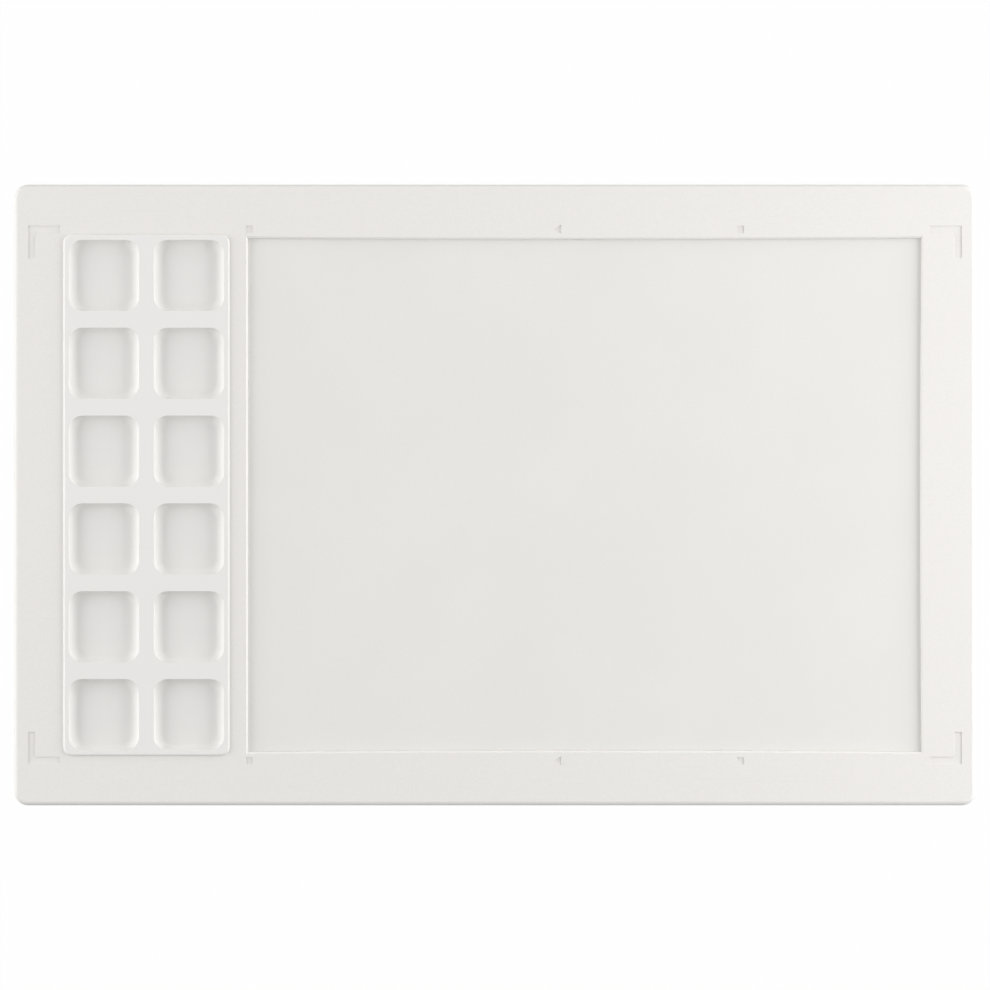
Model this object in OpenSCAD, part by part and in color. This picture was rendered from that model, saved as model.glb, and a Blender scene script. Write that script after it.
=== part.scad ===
// Wet palette: a shallow two-part tray with a soaked sponge and a palette sheet
// under a window, and a lift-out strip of paint wells beside it.
// Millimetres, +Z up, origin at the centre of the footprint, on the ground.

/* [Palette sheet] */
// Length of the palette sheet, along X
sheet_l = 279.4; // [240:0.1:310]
// Width of the palette sheet, along Y
sheet_w = 215.9; // [190:0.1:240]
// Thickness of the palette sheet
sheet_t = 0.2; // [0.1:0.05:0.5]
// How far the deck covers the sheet at its two ends
lap_end = 4.9; // [3:0.1:8]
// How far the deck covers the sheet along its two sides
lap_side = 5.15; // [3:0.05:8]
// Running gap between the sheet and the underside of the deck
sheet_gap = 0.1; // [0.05:0.05:0.5]

/* [Sponge] */
// Thickness of the soaked sponge
sponge_t = 7.8; // [5:0.1:12]
// Gap between the sponge and the wall around it
sponge_gap = 0.8; // [0.5:0.1:3]
// Rounding of the sponge's corners and edges
sponge_edge = 1.2; // [0.5:0.1:2]

/* [Paint wells] */
// Wells across the strip, along X
well_cols = 2; // [1:1:3]
// Wells along the strip, along Y
well_rows = 6; // [4:1:6]
// Length of one well's mouth, along X
well_l = 28.2; // [24:0.1:32]
// Width of one well's mouth, along Y
well_w = 28.6; // [24:0.1:30]
// Depth of one well
well_depth = 4.4; // [3:0.1:6]
// Corner radius of one well's mouth
well_corner = 4.5; // [3.5:0.1:7]
// How far the foot of a well's left and right walls curves in towards its floor
run_x = 3.4; // [2:0.1:4.5]
// How far the foot of a well's front and rear walls curves in towards its floor
run_y = 0.7; // [0.4:0.1:2]
// Height of the curved foot of a well's walls
foot_rise = 1.8; // [1:0.1:2.5]
// Web between neighbouring columns of wells
web_x = 5.85; // [4:0.05:8]
// Web between neighbouring rows of wells
web_y = 6.54; // [4:0.02:7]
// Wall thickness of a well
cup_t = 0.8; // [0.8:0.05:1.2]

/* [Well tray] */
// Land between the wells and the tray's long sides
rim_x = 2.1; // [1.8:0.1:4]
// Land between the wells and the tray's short sides
rim_y = 2.2; // [1.7:0.1:3]
// Height of the tray's top above the deck
tray_rise = 1; // [1:0.1:3]
// Corner radius of the tray, seen from above
tray_corner = 3.4; // [2:0.1:6]
// Rounding of the tray's top edge
tray_edge = 0.8; // [0.4:0.1:0.9]
// Clearance between the wells and the edge of the opening that they drop through
tray_fit = 0.3; // [0.2:0.05:0.4]

/* [Deck] */
// Deck to the left of the well tray
margin_left = 19.8; // [14:0.1:30]
// Deck to the right of the window
margin_right = 21.8; // [18:0.1:35]
// Deck in front of and behind the well tray
margin_side = 19.9; // [17:0.1:35]
// Thickness of the deck's plate
deck_t = 1.6; // [1.4:0.1:3]
// Corner radius of the deck, seen from above
deck_corner = 5.6; // [4.5:0.1:10]
// Rounding of the deck's top edge
deck_edge = 1.8; // [0.6:0.1:2]
// Thickness of the deck's skirt
skirt_t = 2.2; // [1.8:0.1:3]
// How far the skirt hangs below the deck's plate
skirt_drop = 6.4; // [4:0.1:7]
// How far the window's long sides bow inwards at their middle
window_bow = 0.5; // [0:0.1:1]
// Width of the thumb notch in each end of the skirt
notch_w = 42; // [30:1:60]
// Height of the thumb notch
notch_h = 3; // [2:0.1:3.5]
// Width and height of the bevel round the window's top edge
window_bevel = 0.7; // [0.4:0.1:1.2]
// Height of the stiffening ribs and corner lugs under the deck
deck_rib_h = 3; // [2:0.1:5]
// Clearance between the corner lugs and the inside of the base's wall
lug_fit = 0.4; // [0.3:0.05:0.8]

/* [Register marks] */
// Depth of every mark in the deck's face
mark_depth = 0.4; // [0.3:0.1:1]
// Length of a corner mark's two arms
corner_arm = 12.9; // [8:0.1:16]
// Width of a corner mark's arms
corner_mark_w = 3; // [2:0.1:4]
// Distance from the deck's end to a corner mark
corner_in_x = 5.6; // [4.5:0.1:7]
// Distance from the deck's side to a corner mark
corner_in_y = 16.5; // [14:0.1:18]
// Size of a square mark
square_mark = 2.8; // [2:0.1:4]
// Distance from the deck's middle to a square mark, along X
square_x = 98.3; // [60:0.1:110]
// Distance from the deck's middle to an arrow mark, along X
arrow_x = 25; // [0:0.1:50]
// Length of an arrow mark
arrow_l = 3; // [2:0.1:5]
// Width of an arrow mark
arrow_w = 3.8; // [2:0.1:5]
// Distance from the window's side to the middle of a square or arrow mark
mark_off = 3.6; // [2.5:0.1:5]

/* [Base] */
// Thickness of the base's floor
floor_t = 2.2; // [1.8:0.1:3]
// Thickness of the base's upright wall
wall_t = 2.6; // [2:0.1:2.9]
// Clearance between the skirt and the base's wall
skirt_fit = 0.3; // [0.2:0.05:0.5]
// Visible gap between the skirt and the base's plinth
parting_gap = 0.5; // [0.3:0.1:1]
// How far the plinth stands back from the deck's outline
plinth_in = 0.3; // [0.1:0.1:1]
// Rounding of the base's bottom edge
base_edge = 2.4; // [1:0.1:3]
// Thickness of the wall around the sponge
dam_t = 1.8; // [1.4:0.1:2.4]
// Gap between the wall around the sponge and the wells beside it
dam_gap = 1.15; // [0.8:0.05:4]
// Height of the ribs that the sponge lies on
rib_h = 1.6; // [1:0.1:3]
// Width of each of those ribs
rib_w = 2.4; // [1.5:0.1:4]
// Number of ribs under the sponge
rib_count = 9; // [5:1:13]
// Gap in the middle of each rib, for the water to pass
rib_pass = 24; // [10:1:40]
// Clearance between the wells and the rails that stand below them
rail_gap = 0.3; // [0.2:0.1:1]

/* [Feet] */
// Diameter of a rubber foot
foot_d = 14; // [10:0.1:18]
// Height that a foot stands out below the base
foot_h = 1.5; // [1:0.1:3]
// Depth of the pocket that holds a foot
foot_pocket = 1.2; // [0.8:0.1:1.5]
// Clearance around a foot in its pocket
foot_fit = 0.1; // [0.05:0.05:0.3]
// Distance from the deck's end to a foot's centre
foot_in_x = 20; // [16:0.5:30]
// Distance from the deck's side to a foot's centre
foot_in_y = 20; // [16:0.5:30]

/* [Hidden] */
curve_fn = 32;
well_fn = 20;      // facets round a well, which are many
foot_arc = 50;     // how far the foot of a well's wall turns, in degrees
foot_steps = 4;    // straight pieces in that curve
skin = 0.01;       // thickness of the slices that a rounded form is hulled from
over = 1;          // how far a cutting body passes the face that it cuts
bow_steps = 8;     // straight pieces in a bowed side

// Levels
z_floor = foot_h + floor_t;
z_sponge = z_floor + rib_h;
z_sheet = z_sponge + sponge_t;
z_plate = z_sheet + sheet_t + sheet_gap; // underside of the deck's plate, and top of the base's wall
z_deck = z_plate + deck_t;
z_tray = z_deck + tray_rise;
z_skirt = z_plate - skirt_drop;
z_plinth = z_skirt - parting_gap;
z_cup = z_tray - well_depth - cup_t;     // underside of the wells

// Sizes in plan
window_l = sheet_l - 2 * lap_end;
window_w = sheet_w - 2 * lap_side;
pitch_x = well_l + web_x;
pitch_y = well_w + web_y;
tray_l = well_cols * pitch_x - web_x + 2 * rim_x;
tray_w = well_rows * pitch_y - web_y + 2 * rim_y;
bridge = lap_end + sponge_gap + dam_t + dam_gap + cup_t - rim_x;
deck_l = margin_left + tray_l + bridge + window_l + margin_right;
deck_w = max(window_w, tray_w) + 2 * margin_side;
tray_x = -deck_l / 2 + margin_left + tray_l / 2;
window_x = deck_l / 2 - margin_right - window_l / 2;
basin_l = sheet_l + 2 * sponge_gap;
basin_w = sheet_w + 2 * sponge_gap;
dam_l = basin_l + 2 * dam_t;
dam_w = basin_w + 2 * dam_t;
collar_in = skirt_t + skirt_fit;         // the base's upright wall stands this far in from the deck's outline
collar_l = deck_l - 2 * collar_in;
collar_w = deck_w - 2 * collar_in;
inner_l = collar_l - 2 * wall_t;
inner_w = collar_w - 2 * wall_t;
inner_corner = 2;
opening_l = tray_l - 2 * (rim_x - cup_t - tray_fit);
opening_w = tray_w - 2 * (rim_y - cup_t - tray_fit);
opening_corner = 3;
lug_arm = 10;
lug_t = 2;

foot_x = deck_l / 2 - foot_in_x;
foot_y = deck_w / 2 - foot_in_y;
deck_rib_y = (dam_w + inner_w) / 4;      // halfway between the wall around the sponge and the outer wall
deck_rib_t = 1.6;
mark_y = window_w / 2 + mark_off;
rail_t = 1.6;

white = [0.9, 0.89, 0.87];
sheet_white = [0.93, 0.93, 0.91];
sponge_yellow = [0.86, 0.8, 0.62];
rubber_grey = [0.35, 0.35, 0.36];

// ---------- shared shapes ----------

// A rectangle with round corners, centred on the origin.
module rounded_rect(l, w, r, fn = curve_fn) {
    square([l - 2 * r, w], center = true);
    square([l, w - 2 * r], center = true);
    for (sx = [-1, 1], sy = [-1, 1])
        translate([sx * (l / 2 - r), sy * (w / 2 - r)])
            circle(r = r, $fn = fn);
}

// A flat block with round corners, standing on z.
module block(l, w, r, z, h) {
    translate([0, 0, z])
        linear_extrude(h)
            rounded_rect(l, w, r);
}

// The section of a slab's rim, with its upper outer corner rounded.
module rim_section(w, h, edge) {
    difference() {
        square([w, h]);
        translate([w - edge, h - edge])
            difference() {
                square(edge + over);
                circle(r = edge, $fn = curve_fn);
            }
    }
}

// A flat slab with round corners and a rounded top edge, standing on the ground.
module soft_slab(l, w, r, h, edge) {
    x_in = l / 2 - r;
    y_in = w / 2 - r;
    translate([-x_in, -y_in, 0])
        cube([2 * x_in, 2 * y_in, h]);
    for (turn = [0, 180])
        rotate([0, 0, turn]) {
            translate([x_in, y_in, 0])
                rotate([90, 0, 0])
                    linear_extrude(2 * y_in)
                        rim_section(r, h, edge);
            translate([-x_in, y_in, 0])
                rotate([0, 0, 90])
                    rotate([90, 0, 0])
                        linear_extrude(2 * x_in)
                            rim_section(r, h, edge);
            translate([x_in, y_in, 0])
                rotate_extrude(angle = 90, $fn = curve_fn)
                    rim_section(r, h, edge);
            translate([-x_in, y_in, 0])
                rotate([0, 0, 90])
                    rotate_extrude(angle = 90, $fn = curve_fn)
                        rim_section(r, h, edge);
        }
}

// One thin slice of a rounded form, standing on z.
module slice(l, w, r, z, fn = curve_fn) {
    translate([0, 0, z])
        linear_extrude(skin)
            rounded_rect(l, w, max(r, 0.3), fn);
}

// Children at the four corners of a rectangle, mirrored so that each faces its own corner.
module at_corners(x, y) {
    for (sx = [0, 1], sy = [0, 1])
        mirror([sx, 0, 0])
            mirror([0, sy, 0])
                translate([x, y, 0])
                    children();
}

// Children at the centre of every well.
module at_wells() {
    for (i = [0 : well_cols - 1], j = [0 : well_rows - 1])
        translate([tray_x + (i - (well_cols - 1) / 2) * pitch_x, (j - (well_rows - 1) / 2) * pitch_y, 0])
            children();
}

// ---------- base ----------

module base_tray() {
    color(white)
        difference() {
            union() {
                base_shell();
                dam();
                sponge_ribs();
                well_rails();
                foot_bosses();
            }
            foot_pockets();
        }
}

// Floor, plinth and upright wall.
module base_shell() {
    difference() {
        union() {
            translate([0, 0, z_plinth])
                mirror([0, 0, 1])
                    soft_slab(deck_l - 2 * plinth_in, deck_w - 2 * plinth_in, deck_corner - plinth_in,
                        z_plinth - foot_h, base_edge);
            block(collar_l, collar_w, deck_corner - collar_in, z_plinth, z_plate - z_plinth);
        }
        block(inner_l, inner_w, inner_corner, z_floor, z_plate);
    }
}

// Wall that keeps the water and the sponge under the window.
module dam() {
    translate([window_x, 0, 0])
        difference() {
            block(dam_l, dam_w, sponge_edge + dam_t, z_floor, z_sheet - z_floor);
            block(basin_l, basin_w, sponge_edge, z_floor - over, z_deck);
        }
}

// Low ribs that hold the sponge off the floor, open in the middle.
module sponge_ribs() {
    rib_pitch = basin_l / rib_count;
    rib_l = (sheet_w - rib_pass) / 2;
    for (i = [0 : rib_count - 1], side = [-1, 1])
        translate([window_x + (i - (rib_count - 1) / 2) * rib_pitch, side * (rib_pass + rib_l) / 2, z_floor])
            translate([-rib_w / 2, -rib_l / 2, 0])
                cube([rib_w, rib_l, rib_h]);
}

// Two long rails under each column of wells, which stop the tray from bending under a brush.
module well_rails() {
    rail_l = tray_w - 2 * rim_y;
    for (i = [0 : well_cols - 1])
        translate([tray_x + (i - (well_cols - 1) / 2) * pitch_x - rail_t / 2, -rail_l / 2, z_floor])
            cube([rail_t, rail_l, z_cup - rail_gap - z_floor]);
}

module foot_bosses() {
    at_corners(foot_x, foot_y)
        translate([0, 0, z_floor])
            cylinder(d = foot_d + 4, h = foot_pocket, $fn = curve_fn);
}

module foot_pockets() {
    at_corners(foot_x, foot_y)
        translate([0, 0, foot_h - over])
            cylinder(d = foot_d + 2 * foot_fit, h = foot_pocket + over, $fn = curve_fn);
}

// One rubber foot, with a small bevel round its sole.
module foot(side_x, side_y) {
    bevel = 0.6;
    color(rubber_grey)
        translate([side_x * foot_x, side_y * foot_y, 0]) {
            cylinder(d1 = foot_d - 2 * bevel, d2 = foot_d, h = bevel, $fn = curve_fn);
            translate([0, 0, bevel])
                cylinder(d = foot_d, h = foot_h + foot_pocket - bevel, $fn = curve_fn);
        }
}

// ---------- sponge and sheet ----------

// The soaked sponge, the size of the sheet, with every edge rounded off.
module sponge() {
    color(sponge_yellow)
        translate([window_x, 0, z_sponge + sponge_t / 2])
            for (half = [0, 1])
                mirror([0, 0, half])
                    soft_slab(sheet_l, sheet_w, sponge_edge, sponge_t / 2, sponge_edge);
}

module palette_sheet() {
    color(sheet_white)
        translate([window_x, 0, z_sheet])
            translate([-sheet_l / 2, -sheet_w / 2, 0])
                cube([sheet_l, sheet_w, sheet_t]);
}

// ---------- deck ----------

module deck_frame() {
    color(white)
        difference() {
            union() {
                deck_shell();
                deck_ribs();
                corner_lugs();
            }
            window();
            tray_opening();
            thumb_notches();
            register_marks();
        }
}

// Plate and skirt.
module deck_shell() {
    difference() {
        translate([0, 0, z_skirt])
            soft_slab(deck_l, deck_w, deck_corner, z_deck - z_skirt, deck_edge);
        block(deck_l - 2 * skirt_t, deck_w - 2 * skirt_t, deck_corner - skirt_t, z_skirt - over,
            skirt_drop + over);
    }
}

// Stiffening ribs that run in the gutter between the two walls of the base.
module deck_ribs() {
    rib_l = dam_l - 2 * sponge_gap;
    for (side = [-1, 1])
        translate([window_x - rib_l / 2, side * deck_rib_y - deck_rib_t / 2, z_plate - deck_rib_h])
            cube([rib_l, deck_rib_t, deck_rib_h]);
}

// Angle lugs that drop inside the corners of the base's wall and centre the deck on it.
module corner_lugs() {
    at_corners(inner_l / 2 - lug_fit, inner_w / 2 - lug_fit)
        translate([0, 0, z_plate - deck_rib_h])
            linear_extrude(deck_rib_h)
                difference() {
                    angle_outline(lug_arm, lug_t);
                    translate([-lug_t / 2, -lug_t / 2])
                        square(lug_t);
                }
}

// An angle whose outer corner is at the origin and whose arms run back along -X and -Y.
module angle_outline(arm, w) {
    translate([-arm, -w])
        square([arm, w]);
    translate([-w, -arm])
        square([w, arm]);
}

// How far a bowed side stands in at the share t of its length.
function bow_in(t) = 4 * window_bow * t * (1 - t);

// The window's outline: its front, right and rear sides bow in, its left side is straight.
module window_outline() {
    front = [for (i = [0 : bow_steps - 1]) let (t = i / bow_steps)
        [window_l * (t - 0.5), -window_w / 2 + bow_in(t)]];
    right = [for (i = [0 : bow_steps - 1]) let (t = i / bow_steps)
        [window_l / 2 - bow_in(t), window_w * (t - 0.5)]];
    rear = [for (i = [0 : bow_steps]) let (t = i / bow_steps)
        [window_l * (0.5 - t), window_w / 2 - bow_in(t)]];
    polygon(concat(front, right, rear));
}

module window() {
    bevel_l = window_l + 2 * window_bevel;
    bevel_w = window_w + 2 * window_bevel;
    translate([window_x, 0, z_plate - over])
        linear_extrude(deck_t + 2 * over)
            window_outline();
    translate([window_x, 0, z_deck - window_bevel])
        linear_extrude(window_bevel, scale = [bevel_l / window_l, bevel_w / window_w])
            window_outline();
    translate([window_x, 0, z_deck])
        linear_extrude(over)
            scale([bevel_l / window_l, bevel_w / window_w])
                window_outline();
}

module tray_opening() {
    translate([tray_x, 0, 0])
        block(opening_l, opening_w, opening_corner, z_plate - over, deck_t + 2 * over);
}

// A notch in each end of the skirt, for the thumbs that lift the deck off.
module thumb_notches() {
    for (side = [-1, 1])
        translate([side * deck_l / 2 - skirt_t - 0.1, -notch_w / 2, z_skirt - over])
            translate([side < 0 ? 0.1 : 0, 0, 0])
                cube([2 * skirt_t, notch_w, notch_h + over]);
}

// Marks pressed into the deck's face: four corner angles, four squares and two arrows.
module register_marks() {
    translate([0, 0, z_deck - mark_depth])
        linear_extrude(mark_depth + over) {
            at_corners(deck_l / 2 - corner_in_x, deck_w / 2 - corner_in_y)
                angle_outline(corner_arm, corner_mark_w);
            at_corners(square_x, mark_y)
                square(square_mark, center = true);
            for (side = [-1, 1])
                translate([arrow_x, side * mark_y])
                    polygon([[-arrow_l / 2, 0], [arrow_l / 2, -arrow_w / 2], [arrow_l / 2, arrow_w / 2]]);
        }
}

// ---------- well tray ----------

module well_tray() {
    color(white)
        difference() {
            union() {
                translate([tray_x, 0, 0])
                    tray_plate();
                at_wells()
                    well_form(cup_t, (z_deck + z_tray) / 2);
            }
            at_wells()
                well_form(0, z_tray + over);
        }
}

// The tray's plate, which lies on the deck, with its top edge rounded.
module tray_plate() {
    hull() {
        slice(tray_l, tray_w, tray_corner, z_deck);
        for (a = [0, 30, 60, 90])
            let (turn = tray_edge * (1 - cos(a)))
                slice(tray_l - 2 * turn, tray_w - 2 * turn, tray_corner - turn,
                    z_tray - tray_edge * (1 - sin(a)) - skin);
    }
}

// A well's form, grown by wall all round: its inside when wall is 0, its outside otherwise. The
// walls are upright, and their foot curves in along a part of a round.
module well_form(wall, top) {
    bottom = z_tray - well_depth - wall;
    hull() {
        slice(well_l + 2 * wall, well_w + 2 * wall, well_corner + wall, top - skin, well_fn);
        for (i = [0 : foot_steps])
            let (a = foot_arc * i / foot_steps, drawn_in = 1 - sin(a) / sin(foot_arc),
                z = bottom + foot_rise * (1 - cos(a)) / (1 - cos(foot_arc)))
                slice(well_l + 2 * (wall - drawn_in * run_x), well_w + 2 * (wall - drawn_in * run_y),
                    well_corner + wall - drawn_in * run_y, z, well_fn);
    }
}

// ---------- nodes ----------

base_tray();
foot(-1, -1);  // foot_front_left
foot(1, -1);  // foot_front_right
foot(-1, 1);  // foot_rear_left
foot(1, 1);  // foot_rear_right
sponge();
palette_sheet();
deck_frame();
well_tray();
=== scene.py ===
# %% [markdown]
# # A wet palette
# A wet palette keeps paint workable: a sheet of palette paper lies on a soaked sponge under the
# window of a moulded deck, and a strip of wells beside it holds the mixed colours. The solids come
# from the CAD frame. This lesson dresses them: it models the deck, the strip of wells, the sheet
# and the sponge with soft edges and true thickness, and gives every surface its finish.

# %% Load the frame
import bpy
import bmesh
import math
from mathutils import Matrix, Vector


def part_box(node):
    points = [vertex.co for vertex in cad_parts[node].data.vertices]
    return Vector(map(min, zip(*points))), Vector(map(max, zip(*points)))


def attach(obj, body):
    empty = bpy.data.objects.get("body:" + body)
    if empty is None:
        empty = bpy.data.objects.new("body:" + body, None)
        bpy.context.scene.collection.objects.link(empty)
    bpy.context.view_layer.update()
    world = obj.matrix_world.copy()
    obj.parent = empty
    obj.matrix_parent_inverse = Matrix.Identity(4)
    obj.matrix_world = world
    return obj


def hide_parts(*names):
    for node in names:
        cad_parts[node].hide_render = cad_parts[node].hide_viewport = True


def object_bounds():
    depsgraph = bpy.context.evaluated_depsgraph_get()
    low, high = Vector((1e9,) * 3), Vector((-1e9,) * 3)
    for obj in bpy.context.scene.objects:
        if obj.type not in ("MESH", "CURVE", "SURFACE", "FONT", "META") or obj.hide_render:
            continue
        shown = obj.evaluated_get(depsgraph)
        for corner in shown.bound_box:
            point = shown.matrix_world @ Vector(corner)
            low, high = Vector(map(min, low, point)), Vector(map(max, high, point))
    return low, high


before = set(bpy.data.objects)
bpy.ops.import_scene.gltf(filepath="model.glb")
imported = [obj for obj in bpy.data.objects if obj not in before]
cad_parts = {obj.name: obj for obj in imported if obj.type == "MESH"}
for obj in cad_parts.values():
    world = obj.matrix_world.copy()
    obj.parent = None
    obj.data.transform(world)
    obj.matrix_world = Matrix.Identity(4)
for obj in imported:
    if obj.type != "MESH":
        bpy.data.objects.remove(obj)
cad_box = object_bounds()
MM = 0.001
print("nodes in the frame:", sorted(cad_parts))

# %% [markdown]
# The camera looks straight down from three metres, as a catalogue picture of a flat thing is
# taken. It is made early, so that everything after it can be judged through it. From so far away
# the upright walls of the wells show only as edges, the same on every side.

# %% The camera
CAMERA_HEIGHT = 3.0             # metres above the deck's face
VIEW_WIDTH = 0.3962             # metres of the deck's face across the frame
SENSOR = 36                     # millimetres, as in a full frame camera
deck_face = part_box("deck_frame")[1][2]
bpy.ops.object.camera_add(location=(0, 0, deck_face + CAMERA_HEIGHT), rotation=(0, 0, 0))
camera = bpy.context.object
camera.name = "overhead_camera"
camera.data.sensor_width = SENSOR
camera.data.lens = SENSOR * CAMERA_HEIGHT / VIEW_WIDTH
camera.data.clip_start = 0.05
bpy.context.scene.camera = camera
print("lens: %.1f mm" % camera.data.lens)

# %% [markdown]
# A few habits are worth writing down once. Everything is deselected before a piece is begun,
# because an operator acts on all that is selected. Faces and edges are chosen by their place, so
# that the choice still holds when a size changes. Sizes are written in millimetres, as on a
# drawing.

# %% Helpers for one piece at a time
def deselect():
    if bpy.context.object and bpy.context.object.mode != "OBJECT":
        bpy.ops.object.mode_set(mode="OBJECT")
    bpy.ops.object.select_all(action="DESELECT")


def only(piece):
    deselect()
    piece.select_set(True)
    bpy.context.view_layer.objects.active = piece


def settle(piece, name):
    piece.name = name
    piece.data.name = name
    only(piece)
    bpy.ops.object.transform_apply(location=True, rotation=True, scale=True)
    return piece


def block(name, low, high):
    deselect()
    bpy.ops.mesh.primitive_cube_add(
        size=1,
        location=[(a + b) / 2 * MM for a, b in zip(low, high)],
        scale=[(b - a) * MM for a, b in zip(low, high)])
    return settle(bpy.context.object, name)


print("piece helpers ready")

# %% Helpers that choose in edit mode
NEAR = 0.01                     # millimetres within which two places are the same


def choose(piece, kind, test):
    """Enters edit mode and selects the parts of one kind whose corners, in millimetres, pass."""
    only(piece)
    bpy.ops.object.mode_set(mode="EDIT")
    bpy.ops.mesh.select_mode(type=kind)
    bpy.ops.mesh.select_all(action="DESELECT")
    mesh = bmesh.from_edit_mesh(piece.data)
    parts = {"VERT": mesh.verts, "EDGE": mesh.edges, "FACE": mesh.faces}[kind]
    for part in parts:
        corners = [part] if kind == "VERT" else part.verts
        part.select_set(bool(test([corner.co / MM for corner in corners])))
    mesh.select_flush_mode()
    bmesh.update_edit_mesh(piece.data)


def leave():
    bpy.ops.object.mode_set(mode="OBJECT")


def upright(ends):
    rise = abs(ends[0].z - ends[1].z)
    return rise > 1 and rise > abs(ends[0].x - ends[1].x)


def at_height(z):
    return lambda corners: all(abs(corner.z - z) < NEAR for corner in corners)


def round_off(piece, test, radius, steps):
    choose(piece, "EDGE", test)
    bpy.ops.mesh.bevel(offset=radius * MM, segments=steps, affect="EDGES", clamp_overlap=True)
    leave()


print("edit helpers ready")

# %% Helpers that join and cut
def combine(piece, tool, operation):
    only(piece)
    bpy.ops.object.modifier_add(type="BOOLEAN")
    change = piece.modifiers[-1]
    change.operation = operation
    change.solver = "EXACT"
    change.object = tool
    bpy.ops.object.modifier_apply(modifier=change.name)
    bpy.data.objects.remove(tool)


def gather(pieces):
    only(pieces[0])
    for piece in pieces:
        piece.select_set(True)
    bpy.ops.object.join()
    return bpy.context.object


def copies(piece, places):
    """Copies of a piece at the places, in millimetres from where it is, each with its own mesh."""
    made = []
    for x, y in places:
        only(piece)
        bpy.ops.object.duplicate(linked=False)
        bpy.ops.transform.translate(value=(x * MM, y * MM, 0))
        bpy.ops.object.transform_apply(location=True, rotation=False, scale=False)
        made.append(bpy.context.object)
    bpy.data.objects.remove(piece)
    return made


print("join and cut helpers ready")

# %% Helpers that finish a piece
SHARP = math.radians(35)        # an edge that turns further than this is broken
SMOOTH = math.radians(40)       # an edge that turns less than this is shaded smooth


def finish_edges(piece, radius, steps):
    """Breaks every sharp edge by a small radius, then shades flats flat and curves smooth."""
    only(piece)
    bpy.ops.object.modifier_add(type="BEVEL")
    edge = piece.modifiers[-1]
    edge.width = radius * MM
    edge.segments = steps
    edge.limit_method = "ANGLE"
    edge.angle_limit = SHARP
    edge.miter_outer = "MITER_ARC"
    bpy.ops.object.modifier_apply(modifier=edge.name)
    bpy.ops.object.shade_smooth_by_angle(angle=SMOOTH)
    bpy.ops.object.modifier_add(type="WEIGHTED_NORMAL")
    even = piece.modifiers[-1]
    even.keep_sharp = True
    bpy.ops.object.modifier_apply(modifier=even.name)
    deselect()
    print("%s: %d faces" % (piece.name, len(piece.data.polygons)))


print("finish helpers ready")

# %% [markdown]
# The deck is one moulding: a flat plate with a skirt, a big window over the sheet and an opening
# that the wells drop through. It could be drawn as an outline and extruded, but its soft rim is
# easier to get from a block whose upright corners are rounded first and its top edge second. The
# order matters: a top edge that is rounded after the corners runs round them in one even curve.

# %% Sizes of the deck
def extent(node):
    """The lower and upper corner of a node's box, in millimetres."""
    return [[v / MM for v in corner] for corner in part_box(node)]


(DECK_LEFT, DECK_FRONT, SKIRT_FOOT), (DECK_RIGHT, DECK_REAR, DECK_TOP) = extent("deck_frame")
SHEET_LOW, SHEET_HIGH = extent("palette_sheet")
TRAY_LOW, TRAY_HIGH = extent("well_tray")
PAD_LOW, PAD_HIGH = extent("sponge")
PLATE_UNDER = SHEET_HIGH[2] + 0.1       # the plate clears the sheet by a tenth
SKIRT_THICK = 2.2
CORNER = 5.6                            # radius of the deck's corners in plan
RIM = 1.8                               # radius of its top edge
DECK_EDGE = 0.16                        # radius to which its other edges are broken
LAP_END, LAP_SIDE = 4.9, 5.15           # how far the deck covers the sheet
SHEET_LONG, SHEET_WIDE = SHEET_HIGH[0] - SHEET_LOW[0], SHEET_HIGH[1] - SHEET_LOW[1]
WINDOW_X = (SHEET_LOW[0] + SHEET_HIGH[0]) / 2
WINDOW_LONG, WINDOW_WIDE = SHEET_LONG - 2 * LAP_END, SHEET_WIDE - 2 * LAP_SIDE
WELLS_X = (TRAY_LOW[0] + TRAY_HIGH[0]) / 2
OPENING_LONG, OPENING_WIDE, OPENING_CORNER = 64.45, 206.5, 3
print("deck: %.1f x %.1f mm" % (DECK_RIGHT - DECK_LEFT, DECK_REAR - DECK_FRONT))

# %% The moulding's outside
deck = block("deck_moulding",
    (DECK_LEFT, DECK_FRONT, SKIRT_FOOT),
    (DECK_RIGHT, DECK_REAR, DECK_TOP))
round_off(deck, upright, CORNER, 10)
round_off(deck, at_height(DECK_TOP), RIM, 6)
print("rim rounded:", len(deck.data.polygons), "faces")

# %% The hollow under the plate
hollow = block("hollow",
    (DECK_LEFT + SKIRT_THICK, DECK_FRONT + SKIRT_THICK, SKIRT_FOOT - 2),
    (DECK_RIGHT - SKIRT_THICK, DECK_REAR - SKIRT_THICK, PLATE_UNDER))
round_off(hollow, upright, CORNER - SKIRT_THICK, 6)
combine(deck, hollow, "DIFFERENCE")
print("skirt made:", len(deck.data.polygons), "faces")

# %% [markdown]
# A wide opening in a thin moulding shrinks as it cools, so its free sides bow inwards by half a
# millimetre. The left one is held straight by the deck's wall beside the wells. The window's
# cutter is a block whose free sides are divided and pushed in a little more towards their middles.
# Its top flares, which leaves the lip of the window bevelled.

# %% The window's cutter and its bowed sides
BEVEL = 0.7                     # width and height of the lip's bevel
BOW = 0.5                       # how far a side bows in at its middle
STATIONS = 8                    # equal parts into which a bowed side is divided
window = block("window_cutter",
    (WINDOW_X - WINDOW_LONG / 2, -WINDOW_WIDE / 2, PLATE_UNDER - 1),
    (WINDOW_X + WINDOW_LONG / 2, WINDOW_WIDE / 2, DECK_TOP - BEVEL))
choose(window, "EDGE", lambda c: abs(c[0].x - c[1].x) > 1 or (
    abs(c[0].y - c[1].y) > 1 and c[0].x > WINDOW_X))
bpy.ops.mesh.subdivide(number_cuts=STATIONS - 1)
leave()


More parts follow.
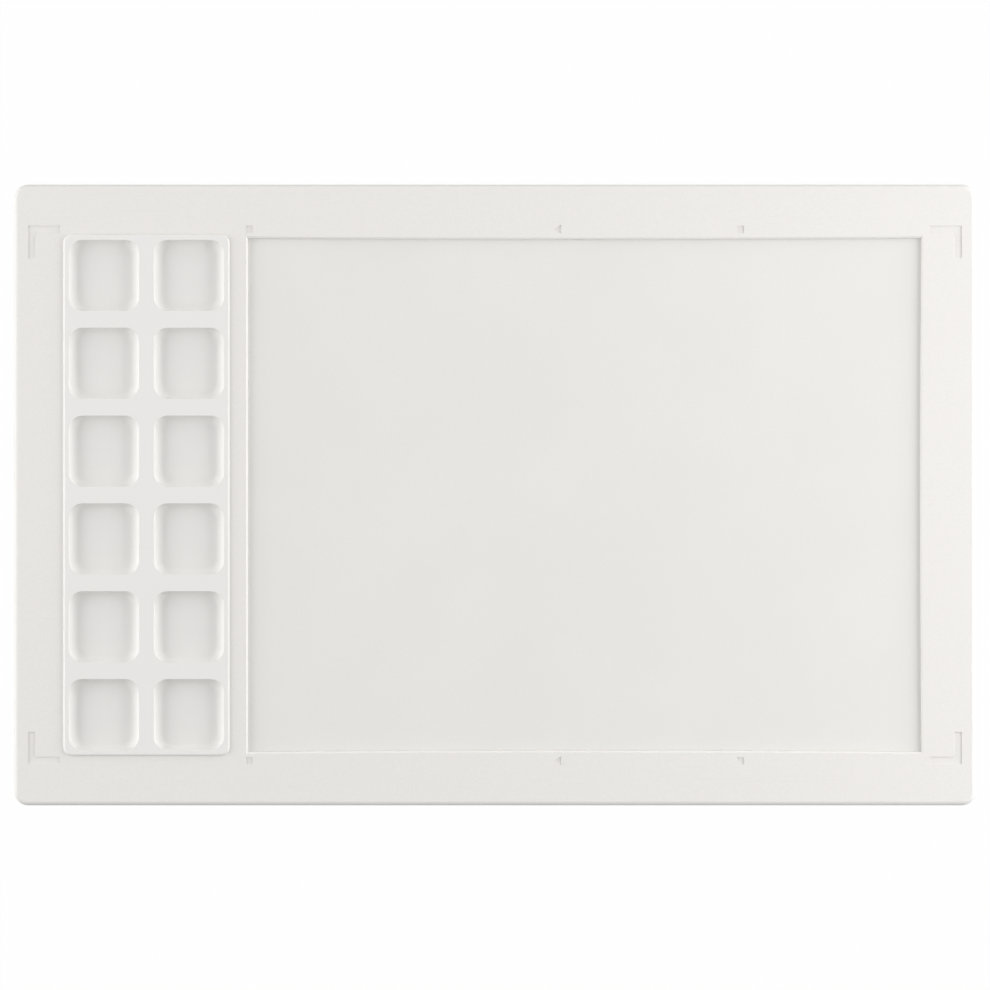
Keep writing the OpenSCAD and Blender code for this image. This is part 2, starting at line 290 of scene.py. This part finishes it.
def push_in(share, side):
    """Moves the window's points at a share of one side's length inwards."""
    x = WINDOW_X + (share - 0.5) * WINDOW_LONG
    y = (share - 0.5) * WINDOW_WIDE
    inward = BOW * 4 * share * (1 - share)
    if side == "right":
        spot = lambda c: (
            abs(c[0].x - WINDOW_X - WINDOW_LONG / 2) < NEAR and abs(c[0].y - y) < 10 * NEAR)
        step = (-inward * MM, 0, 0)
    else:
        sign = 1 if side == "rear" else -1
        spot = lambda c: (
            abs(c[0].x - x) < 10 * NEAR and abs(c[0].y - sign * WINDOW_WIDE / 2) < NEAR)
        step = (0, -sign * inward * MM, 0)
    choose(window, "VERT", spot)
    bpy.ops.transform.translate(value=step)
    leave()


for station in range(1, STATIONS):
    for side in ("front", "rear", "right"):
        push_in(station / STATIONS, side)
print("sides bowed:", len(window.data.vertices), "points")

# %% The window
choose(window, "FACE", at_height(DECK_TOP - BEVEL))
bpy.ops.mesh.extrude_region_move(TRANSFORM_OT_translate={"value": (0, 0, BEVEL * MM)})
bpy.ops.transform.resize(
    value=(1 + 2 * BEVEL / WINDOW_LONG, 1 + 2 * BEVEL / WINDOW_WIDE, 1),
    center_override=(WINDOW_X * MM, 0, 0))
bpy.ops.mesh.extrude_region_move(TRANSFORM_OT_translate={"value": (0, 0, 2 * MM)})
leave()
combine(deck, window, "DIFFERENCE")
print("window cut:", len(deck.data.polygons), "faces")

# %% The opening for the wells, and a thumb notch in each end
opening = block("opening_cutter",
    (WELLS_X - OPENING_LONG / 2, -OPENING_WIDE / 2, PLATE_UNDER - 1),
    (WELLS_X + OPENING_LONG / 2, OPENING_WIDE / 2, DECK_TOP + 1))
round_off(opening, upright, OPENING_CORNER, 5)
combine(deck, opening, "DIFFERENCE")
NOTCH_LONG, NOTCH_HIGH, NOTCH_CORNER, NOTCH_REACH = 42, 3, 1.5, 4
NOTCH_TOP = SKIRT_FOOT + NOTCH_HIGH
for end in (DECK_LEFT, DECK_RIGHT):
    notch = block("notch_cutter",
        (end - NOTCH_REACH, -NOTCH_LONG / 2, SKIRT_FOOT - 1),
        (end + NOTCH_REACH, NOTCH_LONG / 2, NOTCH_TOP))
    top_ends = lambda c: at_height(NOTCH_TOP)(c) and abs(c[0].x - c[1].x) > 1
    round_off(notch, top_ends, NOTCH_CORNER, 4)
    combine(deck, notch, "DIFFERENCE")
print("openings cut:", len(deck.data.polygons), "faces")

# %% [markdown]
# The deck's face carries shallow register marks: an angle in each corner, small squares by the
# window's corners and two arrow heads. Each is cut with its own little block. An angle starts as
# its corner piece, and its two arms are extruded from that, which is how one would draw it.

# %% The corner angles
MARK_DEPTH = 0.4
MARK_FLOOR = DECK_TOP - MARK_DEPTH
ANGLE_IN_X, ANGLE_IN_Y = 5.6, 16.5      # from the deck's edges in to an angle
ANGLE_WIDE, ANGLE_ARM = 3.0, 12.9       # width and whole length of its arms
ANGLE_ROUND = 1.6                       # inner corner of the two angles at the rear


def angle_cutter(sx, sy):
    """The cutter of the angle in the corner to which the two signs point."""
    x, y = sx * (DECK_RIGHT - ANGLE_IN_X), sy * (DECK_REAR - ANGLE_IN_Y)
    inner_x, inner_y = x - sx * ANGLE_WIDE, y - sy * ANGLE_WIDE
    reach = (ANGLE_ARM - ANGLE_WIDE) * MM
    cutter = block("angle_cutter",
        (min(x, inner_x), min(y, inner_y), MARK_FLOOR),
        (max(x, inner_x), max(y, inner_y), DECK_TOP + 1))
    choose(cutter, "FACE", lambda c: all(abs(v.x - inner_x) < NEAR for v in c))
    bpy.ops.mesh.extrude_region_move(TRANSFORM_OT_translate={"value": (-sx * reach, 0, 0)})
    leave()
    choose(cutter, "FACE", lambda c: all(
        abs(v.y - inner_y) < NEAR and abs(v.x - x) < ANGLE_WIDE + NEAR for v in c))
    bpy.ops.mesh.extrude_region_move(TRANSFORM_OT_translate={"value": (0, -sy * reach, 0)})
    leave()
    if sy > 0:
        inner = lambda c: all(abs(v.x - inner_x) < NEAR and abs(v.y - inner_y) < NEAR for v in c)
        round_off(cutter, inner, ANGLE_ROUND, 4)
    return cutter


for sx in (-1, 1):
    for sy in (-1, 1):
        combine(deck, angle_cutter(sx, sy), "DIFFERENCE")
print("corner angles cut:", len(deck.data.polygons), "faces")

# %% The squares and the arrow heads
MARK_Y = WINDOW_WIDE / 2 + 3.6          # line of the small marks, beside the window
SQUARE_X, SQUARE_HALF = 98.3, 1.4       # place and half width of a square
ARROW_X, ARROW_SIZE = 25.5, 2           # place and radius of an arrow head
for sy in (-1, 1):
    for x in (-SQUARE_X, SQUARE_X):
        square = block("square_cutter",
            (x - SQUARE_HALF, sy * MARK_Y - SQUARE_HALF, MARK_FLOOR),
            (x + SQUARE_HALF, sy * MARK_Y + SQUARE_HALF, DECK_TOP + 1))
        combine(deck, square, "DIFFERENCE")
    deselect()
    bpy.ops.mesh.primitive_cylinder_add(
        vertices=3, radius=ARROW_SIZE * MM, depth=2 * MM,
        location=(ARROW_X * MM, sy * MARK_Y * MM, (MARK_FLOOR + 1) * MM),
        rotation=(0, 0, math.radians(90)))
    arrow = settle(bpy.context.object, "arrow_cutter")
    combine(deck, arrow, "DIFFERENCE")
print("marks cut:", len(deck.data.polygons), "faces")

# %% [markdown]
# Under the plate, a rib along each long side keeps the thin moulding from sagging, and an angle lug
# in each corner drops inside the base's wall and centres the deck. They are plain blocks joined to
# the plate, sunk half a millimetre into it, so that no gap can stay between them.

# %% Ribs and lugs under the plate
UNDER = (PLATE_UNDER - 3, PLATE_UNDER + 0.5)    # foot and sunk top of the ribs and lugs
RIB_LONG, RIB_Y, RIB_THICK = 283, 114.95, 1.6
LUG_IN, LUG_ARM, LUG_THICK = 5.5, 10, 2
for sy in (-1, 1):
    rib = block("rib",
        (WINDOW_X - RIB_LONG / 2, sy * RIB_Y - RIB_THICK / 2, UNDER[0]),
        (WINDOW_X + RIB_LONG / 2, sy * RIB_Y + RIB_THICK / 2, UNDER[1]))
    combine(deck, rib, "UNION")
    for sx in (-1, 1):
        x, y = sx * (DECK_RIGHT - LUG_IN), sy * (DECK_REAR - LUG_IN)
        for long_x, long_y in ((LUG_ARM, LUG_THICK), (LUG_THICK, LUG_ARM)):
            far_x, far_y = x - sx * long_x, y - sy * long_y
            lug = block("lug",
                (min(x, far_x), min(y, far_y), UNDER[0]),
                (max(x, far_x), max(y, far_y), UNDER[1]))
            combine(deck, lug, "UNION")
finish_edges(deck, DECK_EDGE, 3)

# %% [markdown]
# The strip of wells lies on the deck and hangs through its opening. A well has upright walls whose
# foot curves in to the floor, further at the left and right than at the front and rear, so that a
# brush can follow it. One outside and one inside are modelled, copied to every place, and then
# joined to the strip's plate and cut out of it.

# %% Sizes of the wells
TRAY_TOP = TRAY_HIGH[2]
WELL_LONG, WELL_WIDE, WELL_DEEP = 28.0, 28.4, 4.0
WELL_WALL, WELL_CORNER = 0.8, 5.4
RUN_X, RUN_Y, RISE = 3.5, 2.4, 1.5      # the foot of a wall: how far it runs in, and its height
ARC = math.radians(45)                  # the part of a round that the foot follows
FOOT_STEPS = 8                          # steps in which the foot is drawn
PITCH_X, PITCH_Y = 34.05, 35.14         # from one well's middle to the next
PLACES = [((i - 0.5) * PITCH_X, (j - 2.5) * PITCH_Y) for i in range(2) for j in range(6)]
STRIP_CORNER, STRIP_RIM = 3.4, 0.9      # radius of the strip's corners and of its top edge
WELL_EDGE = 0.4                         # radius to which its other edges are broken
print("strip: %.1f x %.1f mm" % (TRAY_HIGH[0] - TRAY_LOW[0], TRAY_HIGH[1] - TRAY_LOW[1]))


# %% One well's form
def well_form(name, wall):
    """A well's inside, or its outside if it has a wall: a block with round corners whose lower face
    is extruded down and drawn in, step by step, along a curve that ends flat."""
    floor = TRAY_TOP - wall - WELL_DEEP
    long, wide, z = WELL_LONG / 2 + wall, WELL_WIDE / 2 + wall, floor + RISE
    mouth = TRAY_TOP - 0.4 if wall else TRAY_TOP + 1
    form = block(name, (WELLS_X - long, -wide, z), (WELLS_X + long, wide, mouth))
    round_off(form, upright, WELL_CORNER + wall, 6)
    choose(form, "FACE", at_height(z))
    for step in range(1, FOOT_STEPS + 1):
        turn = ARC * (1 - step / FOOT_STEPS)
        inset = 1 - math.sin(turn) / math.sin(ARC)
        lower = floor + RISE * (1 - math.cos(turn)) / (1 - math.cos(ARC))
        across = WELL_LONG / 2 + wall - inset * RUN_X
        along = WELL_WIDE / 2 + wall - inset * RUN_Y
        drop = (0, 0, (lower - z) * MM)
        bpy.ops.mesh.extrude_region_move(TRANSFORM_OT_translate={"value": drop})
        bpy.ops.transform.resize(value=(across / long, along / wide, 1))
        long, wide, z = across, along, lower
    leave()
    return form


print("wells:", len(PLACES), "of %.1f x %.1f x %.1f mm" % (WELL_LONG, WELL_WIDE, WELL_DEEP))

# %% The strip
wells = block("well_strip", (TRAY_LOW[0], TRAY_LOW[1], DECK_TOP), TRAY_HIGH)
round_off(wells, upright, STRIP_CORNER, 8)
round_off(wells, at_height(TRAY_TOP), STRIP_RIM, 5)
combine(wells, gather(copies(well_form("well_outside", WELL_WALL), PLACES)), "UNION")
combine(wells, gather(copies(well_form("well_inside", 0), PLACES)), "DIFFERENCE")
finish_edges(wells, WELL_EDGE, 3)

# %% [markdown]
# The palette sheet is damp paper on the sponge. It is a thin sheet and not a block, so it is made
# as a fine grid, lifted by less than the thickness of a card where the water has made it swell, and
# then given its thickness. Under the deck it stays flat, because the deck holds it down.

# %% The sheet
PAPER_THICK, SWELL = 0.16, 0.16         # thickness, and most that the water lifts it
FLAT_X, FLAT_Y = 128, 96                # from the window's middle to where the sheet is flat
deselect()
bpy.ops.mesh.primitive_grid_add(
    x_subdivisions=93, y_subdivisions=72, size=1,
    location=(WINDOW_X * MM, 0, (SHEET_LOW[2] + 0.02) * MM))
bpy.ops.transform.resize(value=(SHEET_LONG * MM, SHEET_WIDE * MM, 1))
sheet = settle(bpy.context.object, "damp_sheet")
for vertex in sheet.data.vertices:
    x, y = vertex.co.x / MM - WINDOW_X, vertex.co.y / MM
    inside_window = max(0, 1 - (x / FLAT_X) ** 8) * max(0, 1 - (y / FLAT_Y) ** 8)
    swell = 0.5 + 0.3 * math.sin(x / 31 + y / 57 + 0.6) + 0.2 * math.sin(y / 23 - x / 70 + 2.1)
    vertex.co.z += SWELL * MM * swell * inside_window
only(sheet)
bpy.ops.object.modifier_add(type="SOLIDIFY")
sheet.modifiers[-1].thickness = PAPER_THICK * MM
sheet.modifiers[-1].offset = 1
bpy.ops.object.modifier_apply(modifier=sheet.modifiers[-1].name)
bpy.ops.object.shade_smooth_by_angle(angle=SMOOTH)
deselect()
print("sheet: %d faces" % len(sheet.data.polygons))

# %% [markdown]
# The sponge is cut from a slab of open foam, so its faces are flat but never smooth. A rounded
# block is remeshed into an even net, and its points are sunk a little by layered waves, which gives
# the slightly lumpy skin of a soaked pad. The pores are finer than the net and come with the
# finish.

# %% The sponge
PAD_IN, PAD_ROUND = 0.15, 1.4           # how far its skin lies in from its solid, and its edge
NET, LUMP = 2.0, 0.25                   # width of the net's meshes, and depth of the lumps
pad = block("sponge_pad", [v + PAD_IN for v in PAD_LOW], [v - PAD_IN for v in PAD_HIGH])
round_off(pad, lambda c: True, PAD_ROUND, 3)
only(pad)
bpy.ops.object.modifier_add(type="REMESH")
pad.modifiers[-1].mode = "VOXEL"
pad.modifiers[-1].voxel_size = NET * MM
bpy.ops.object.modifier_apply(modifier=pad.modifiers[-1].name)
middle = (PAD_LOW[2] + PAD_HIGH[2]) / 2
for vertex in pad.data.vertices:
    x, y, z = [v / MM for v in vertex.co]
    wave_x = math.sin(x * 0.9 + 2 * math.sin(y * 0.37))
    wave_y = math.sin(y * 1.1 + 2 * math.sin(x * 0.29))
    lump = 0.5 + 0.25 * wave_x + 0.25 * wave_y
    vertex.co.z -= LUMP * MM * lump * (1 if z > middle else -1)
bpy.ops.object.shade_smooth()
deselect()
print("sponge: %d faces" % len(pad.data.polygons))

# %% [markdown]
# Finishes are built from nodes. Written one node at a time they are hard to read, so a small class
# lets a socket take part in Python arithmetic, and one method makes any other kind of node.

# %% Shader arithmetic
class Amount:
    """A socket that Python's operators turn into Math nodes."""

    def __init__(self, finish, socket):
        self.finish, self.socket = finish, socket

    def combine(self, operation, first, second):
        return self.finish.make("ShaderNodeMath", {"operation": operation}, {0: first, 1: second})

    def __add__(self, other):
        return self.combine("ADD", self, other)

    def __sub__(self, other):
        return self.combine("SUBTRACT", self, other)

    def __mul__(self, other):
        return self.combine("MULTIPLY", self, other)

    def __gt__(self, other):
        return self.combine("GREATER_THAN", self, other)

    def __rsub__(self, other):
        return self.combine("SUBTRACT", other, self)

    __radd__ = __add__
    __rmul__ = __mul__


class Finish:
    """A material with its shader, and a way to make nodes for it."""

    def __init__(self, name):
        self.material = bpy.data.materials.new(name)
        self.material.use_nodes = True
        self.nodes = self.material.node_tree.nodes
        self.links = self.material.node_tree.links
        self.shader = self.nodes["Principled BSDF"]
        self.place = self.make("ShaderNodeTexCoord", output="Object")

    def feed(self, socket, value):
        if isinstance(value, Amount):
            self.links.new(value.socket, socket)
        else:
            socket.default_value = value

    def make(self, kind, settings=None, inputs=None, output=0):
        node = self.nodes.new(kind)
        for key, value in (settings or {}).items():
            setattr(node, key, value)
        for key, value in (inputs or {}).items():
            self.feed(node.inputs[key], value)
        return Amount(self, node.outputs[output])

    def set(self, **values):
        for key, value in values.items():
            self.feed(self.shader.inputs[key.replace("_", " ")], value)

    def noise(self, scale, detail, place=None, roughness=0.5):
        return self.make("ShaderNodeTexNoise", None, {
            "Vector": place or self.place, "Scale": scale, "Detail": detail,
            "Roughness": roughness})

    def cells(self, scale):
        """How far a point is from the middle of its cell."""
        return self.make("ShaderNodeTexVoronoi", {"feature": "F1"}, {
            "Vector": self.place, "Scale": scale})

    def step(self, value, low, high):
        """0 below low, 1 above high and smooth between."""
        return self.make("ShaderNodeMapRange", {"interpolation_type": "SMOOTHSTEP"}, {
            "Value": value, "From Min": low, "From Max": high})

    def blend(self, share, first, second):
        return self.make(
            "ShaderNodeMix", {"data_type": "RGBA"}, {0: share, 6: first, 7: second}, output=2)

    def bump(self, height, depth):
        return self.make("ShaderNodeBump", None, {
            "Height": height, "Distance": depth, "Strength": 1.0})


def colour(red, green, blue):
    """A colour from 0 to 255 as the screen shows it, as the linear value that a shader wants."""
    def linear(v):
        v /= 255
        return v / 12.92 if v <= 0.04045 else ((v + 0.055) / 1.055) ** 2.4
    return (linear(red), linear(green), linear(blue), 1)


print("shader helpers ready")

# %% [markdown]
# The deck, the wells and the base are the same off-white plastic. A mould for such a part is spark
# eroded, which leaves an even matt grain about a third of a millimetre across. The colour is close
# to even, with faint warm and cool patches, some trapped specks and a few hairline scratches.

# %% Moulded plastic
def moulded_plastic(name, warm, cool, grain, scratches):
    """Grain and scratches are 1 for the deck, and more or less for a rougher or smoother part."""
    f = Finish(name)
    patches = f.noise(38, 3)
    mottle = f.noise(1500, 3)
    tone = f.blend(f.step(mottle, 0.35, 0.65), warm, cool)
    darker = tuple(c * 0.985 for c in warm[:3]) + (1,)
    tone = f.blend(f.step(patches, 0.35, 0.75) * 0.5, tone, darker)
    speck = (1 - f.step(f.cells(52), 0.012, 0.022)) * (f.noise(21, 0) > 0.6)
    tone = f.blend(speck * 0.5, tone, colour(150, 140, 126))
    long_way = f.make("ShaderNodeMapping", None, {
        "Vector": f.place, "Rotation": (0, 0, 0.55), "Scale": (26, 900, 26)})
    hairline = f.step(f.noise(1, 1, long_way), 0.715, 0.735) * (f.noise(30, 1) > 0.52)
    tone = f.blend(hairline * 0.04 * scratches, tone, colour(190, 186, 180))
    spark = f.noise(2900, 2, roughness=0.6)
    f.set(Base_Color=tone, Roughness=0.47 + patches * 0.12 + spark * 0.08)
    f.set(Normal=f.bump(spark - hairline * (0.3 * scratches), 0.000018 * grain))
    f.set(Specular_IOR_Level=0.42)
    return f.material


deck_plastic = moulded_plastic(
    "moulded_deck", colour(232, 229, 226), colour(229, 227, 224), grain=1, scratches=1)
well_plastic = moulded_plastic(
    "moulded_wells", colour(233, 230.8, 228.5), colour(231, 229.8, 227.5),
    grain=0.6, scratches=0.5)
base_plastic = moulded_plastic(
    "moulded_base", colour(230, 227, 223), colour(227, 226, 222), grain=1.4, scratches=1.4)
print("plastics made")

# %% [markdown]
# Palette paper is a smooth parchment. Soaked from below, it turns a little grey and uneven as the
# water comes through, and its fibres show as a very fine felt.

# %% Damp paper
def damp_paper(name):
    f = Finish(name)
    damp = f.noise(24, 4)
    fibre = f.noise(900, 4, roughness=0.65)
    dry, wet = colour(229.5, 227.5, 224.3), colour(227.5, 225.5, 221.8)
    tone = f.blend(f.step(damp, 0.3, 0.7), dry, wet)
    tone = f.blend(f.step(fibre, 0.4, 0.7) * 0.35, tone, colour(224.5, 222, 218))
    f.set(Base_Color=tone, Roughness=0.5 + damp * 0.16)
    f.set(Normal=f.bump(fibre + damp * 3, 0.00002))
    return f.material


paper = damp_paper("damp_palette_paper")
print("paper made")

# %% [markdown]
# Open foam is a net of thin walls round pores of many sizes. Two sizes of cell, each deeper at its
# middle and painted darker there as painted shade inside the pore, are enough to read as foam.
# Rubber is nearly black grey, dull and finely pitted.

# %% Foam and rubber
def open_foam(name):
    f = Finish(name)
    small, large = f.cells(900), f.cells(330)
    pore_depth_and_shade = (1 - f.step(large, 0.12, 0.4)) + (1 - f.step(small, 0.1, 0.5)) * 0.6
    tone = f.blend(f.noise(30, 3), colour(238, 219, 150), colour(228, 205, 132))
    # painted shade: the middle of each pore is coloured a darker brown, for the shade inside the
    # hole
    tone = f.blend(pore_depth_and_shade * 0.55, tone, colour(170, 138, 72))
    f.set(Base_Color=tone, Roughness=0.75 - pore_depth_and_shade * 0.2)
    f.set(Normal=f.bump(1 - pore_depth_and_shade, 0.0003))
    return f.material


def foot_rubber(name):
    f = Finish(name)
    pits = f.noise(1800, 3)
    f.set(Base_Color=f.blend(f.noise(120, 2), colour(96, 96, 98), colour(84, 84, 86)))
    f.set(Roughness=0.78 + pits * 0.15, Normal=f.bump(pits, 0.00005))
    return f.material


foam = open_foam("open_foam")
rubber = foot_rubber("foot_rubber")
print("foam and rubber made")

# %% [markdown]
# Each new piece gets its finish, rides on the body that carries it and stands for its solid. The
# base and the feet keep their own solids, whose shapes are right as they are.

# %% Dress the pieces
def dress(piece, material):
    piece.data.materials.clear()
    piece.data.materials.append(material)


for piece, material, body, node, slot in (
        (deck, deck_plastic, "deck", "deck_frame", "deck_plastic"),
        (wells, well_plastic, "wells", "well_tray", "well_plastic"),
        (sheet, paper, "sheet", "palette_sheet", "wet_sheet"),
        (pad, foam, "sponge_pad", "sponge", "wet_sponge")):
    dress(piece, material)
    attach(piece, body)
    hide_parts(node)

for node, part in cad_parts.items():
    if node == "base_tray":
        material = base_plastic
    elif node.startswith("foot"):
        material = rubber
    else:
        continue
    for place in part.material_slots:
        place.material = material
print("pieces dressed")

# %% [markdown]
# The palette is lit as a product is: a broad soft box low on either side, the right one nearer, a
# weak one low behind, a weaker one above, and an even glow all round. Low light from the sides
# draws the walls of the wells, and the one behind draws the lips and marks that run from left to
# right. The floor is plain white and shows as white to the camera.

# %% The floor
FLOOR_SIZE, FLOOR_GAP = 8, 0.0002       # metres; the gap keeps it off the underside of the feet
deselect()
bpy.ops.mesh.primitive_plane_add(size=FLOOR_SIZE, location=(0, 0, cad_box[0][2] - FLOOR_GAP))
floor = settle(bpy.context.object, "floor")


def seen_as_white(tree, surface, share):
    """Shows white to the camera and in reflections, and lights the rest as the surface does."""
    path = tree.nodes.new("ShaderNodeLightPath")
    seen = path.outputs["Is Camera Ray"]
    for name in ("Is Glossy Ray", "Is Transmission Ray"):
        either = tree.nodes.new("ShaderNodeMath")
        either.operation = "MAXIMUM"
        tree.links.new(seen, either.inputs[0])
        tree.links.new(path.outputs[name], either.inputs[1])
        seen = either.outputs[0]
    weight = tree.nodes.new("ShaderNodeMath")
    weight.operation = "MULTIPLY"
    weight.inputs[1].default_value = share
    tree.links.new(seen, weight.inputs[0])
    mix = tree.nodes.new("ShaderNodeMixShader")
    tree.links.new(weight.outputs[0], mix.inputs[0])
    tree.links.new(surface, mix.inputs[1])
    return mix


paint = bpy.data.materials.new("white_floor")
paint.use_nodes = True
tree = paint.node_tree
matt = tree.nodes["Principled BSDF"]
matt.inputs["Base Color"].default_value = (0.3, 0.3, 0.3, 1)
matt.inputs["Roughness"].default_value = 0.9
glow = tree.nodes.new("ShaderNodeEmission")
glow.inputs["Strength"].default_value = 1.0
mix = seen_as_white(tree, matt.outputs[0], 0.99)
tree.links.new(glow.outputs[0], mix.inputs[2])
tree.links.new(mix.outputs[0], tree.nodes["Material Output"].inputs["Surface"])
dress(floor, paint)
print("floor laid")


# %% The lamps
def soft_box(name, place, size, power):
    """A lamp of a width and a height in metres and a power in watts, aimed at the middle."""
    deselect()
    bpy.ops.object.light_add(type="AREA", location=place)
    lamp = bpy.context.object
    lamp.name = name
    lamp.data.shape = "RECTANGLE"
    lamp.data.size, lamp.data.size_y = size
    lamp.data.energy = power
    x, y, z = place
    tilt = math.atan2(math.hypot(x, y), z)
    lamp.rotation_euler = (tilt, 0, math.atan2(-y, -x) - math.pi / 2)


soft_box("soft_box_right", (0.9, 0.07, 0.35), size=(0.95, 0.7), power=9)
soft_box("soft_box_left", (-1.25, 0.07, 0.46), size=(1.2, 0.9), power=12.6)
soft_box("soft_box_rear", (0.1, 1.2, 0.5), size=(1.6, 0.7), power=2.6)
soft_box("soft_box_above", (0, 0.2, 1.7), size=(1.6, 1.2), power=2)

# %% The glow all round
SKY_GLOW = 0.43
world = bpy.data.worlds.new("studio")
bpy.context.scene.world = world
world.use_nodes = True
sky = world.node_tree.nodes["Background"]
sky.inputs["Color"].default_value = (1, 1, 1, 1)
sky.inputs["Strength"].default_value = SKY_GLOW
white = world.node_tree.nodes.new("ShaderNodeBackground")
white.inputs["Strength"].default_value = 1.0
mix = seen_as_white(world.node_tree, sky.outputs[0], 1.0)
world.node_tree.links.new(white.outputs[0], mix.inputs[2])
world.node_tree.links.new(mix.outputs[0], world.node_tree.nodes["World Output"].inputs["Surface"])
bpy.context.scene.view_settings.view_transform = "Standard"
print("studio lit")

# %% [markdown]
# Last, the size of the solids, as the CAD frame gives it, is written down.

# %% Write the size of the solids
print("CAD box:", cad_box)
